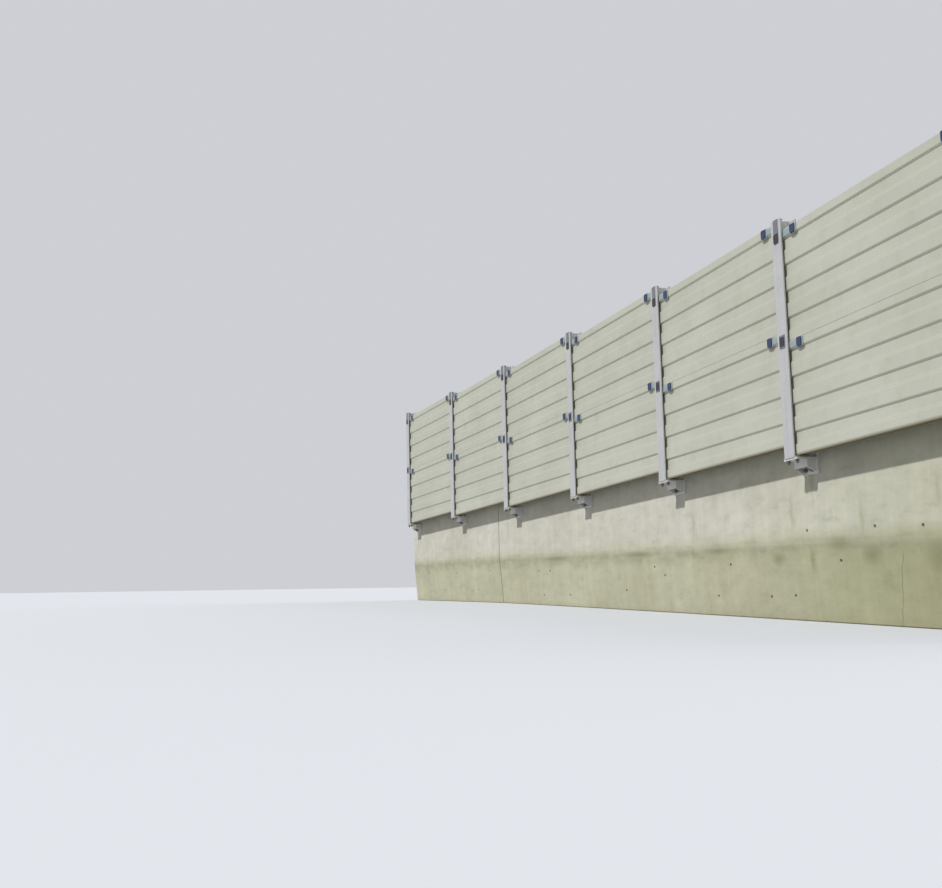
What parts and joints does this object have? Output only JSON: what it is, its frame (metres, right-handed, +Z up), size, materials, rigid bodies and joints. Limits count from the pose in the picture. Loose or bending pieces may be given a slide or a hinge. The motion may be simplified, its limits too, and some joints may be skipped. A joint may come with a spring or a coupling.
{
  "type": "highway noise barrier on a bridge parapet",
  "caption": "Noise barrier of ribbed steel panels stacked between H-section posts, bracketed to the outer face of a concrete bridge parapet and stepped down a slope.",
  "frame": {"origin": "on the flat underside of the longer parapet length, below the middle post", "axes": "+Z up; +X along the barrier towards its low end; -Y out from the road, the side that the posts stand on"},
  "size_m": [12.6322, 0.6928, 3.1766],
  "materials": {
    "concrete": "weathered cast concrete",
    "panel_sheet": "pale grey-green coated steel sheet",
    "galvanised_steel": "dull hot-dip galvanised steel",
    "blue_plastic": "moulded plastic faded by the sun",
    "gasket_rubber": "matt black",
    "joint_foam": "matt dark grey"
  },
  "bodies": {
    "root": {"foot_bracket_1": "galvanised_steel", "foot_bracket_2": "galvanised_steel", "foot_bracket_3": "galvanised_steel", "foot_bracket_4": "galvanised_steel", "foot_bracket_5": "galvanised_steel", "foot_bracket_6": "galvanised_steel", "foot_bracket_7": "galvanised_steel", "joint_filler": "joint_foam", "lower_panel_1": "panel_sheet", "lower_panel_2": "panel_sheet", "lower_panel_3": "panel_sheet", "lower_panel_4": "panel_sheet", "lower_panel_5": "panel_sheet", "lower_panel_6": "panel_sheet", "panel_gaskets": "gasket_rubber", "parapet_far": "concrete", "parapet_near": "concrete", "post_1": "galvanised_steel", "post_2": "galvanised_steel", "post_3": "galvanised_steel", "post_4": "galvanised_steel", "post_5": "galvanised_steel", "post_6": "galvanised_steel", "post_7": "galvanised_steel", "tie_clips_1": "blue_plastic", "tie_clips_2": "blue_plastic", "tie_clips_3": "blue_plastic", "tie_clips_4": "blue_plastic", "tie_clips_5": "blue_plastic", "tie_clips_6": "blue_plastic", "tie_clips_7": "blue_plastic", "tie_plates_1": "galvanised_steel", "tie_plates_2": "galvanised_steel", "tie_plates_3": "galvanised_steel", "tie_plates_4": "galvanised_steel", "tie_plates_5": "galvanised_steel", "tie_plates_6": "galvanised_steel", "tie_plates_7": "galvanised_steel", "upper_panel_1": "panel_sheet", "upper_panel_2": "panel_sheet", "upper_panel_3": "panel_sheet", "upper_panel_4": "panel_sheet", "upper_panel_5": "panel_sheet", "upper_panel_6": "panel_sheet"}
  },
  "joints": []
}
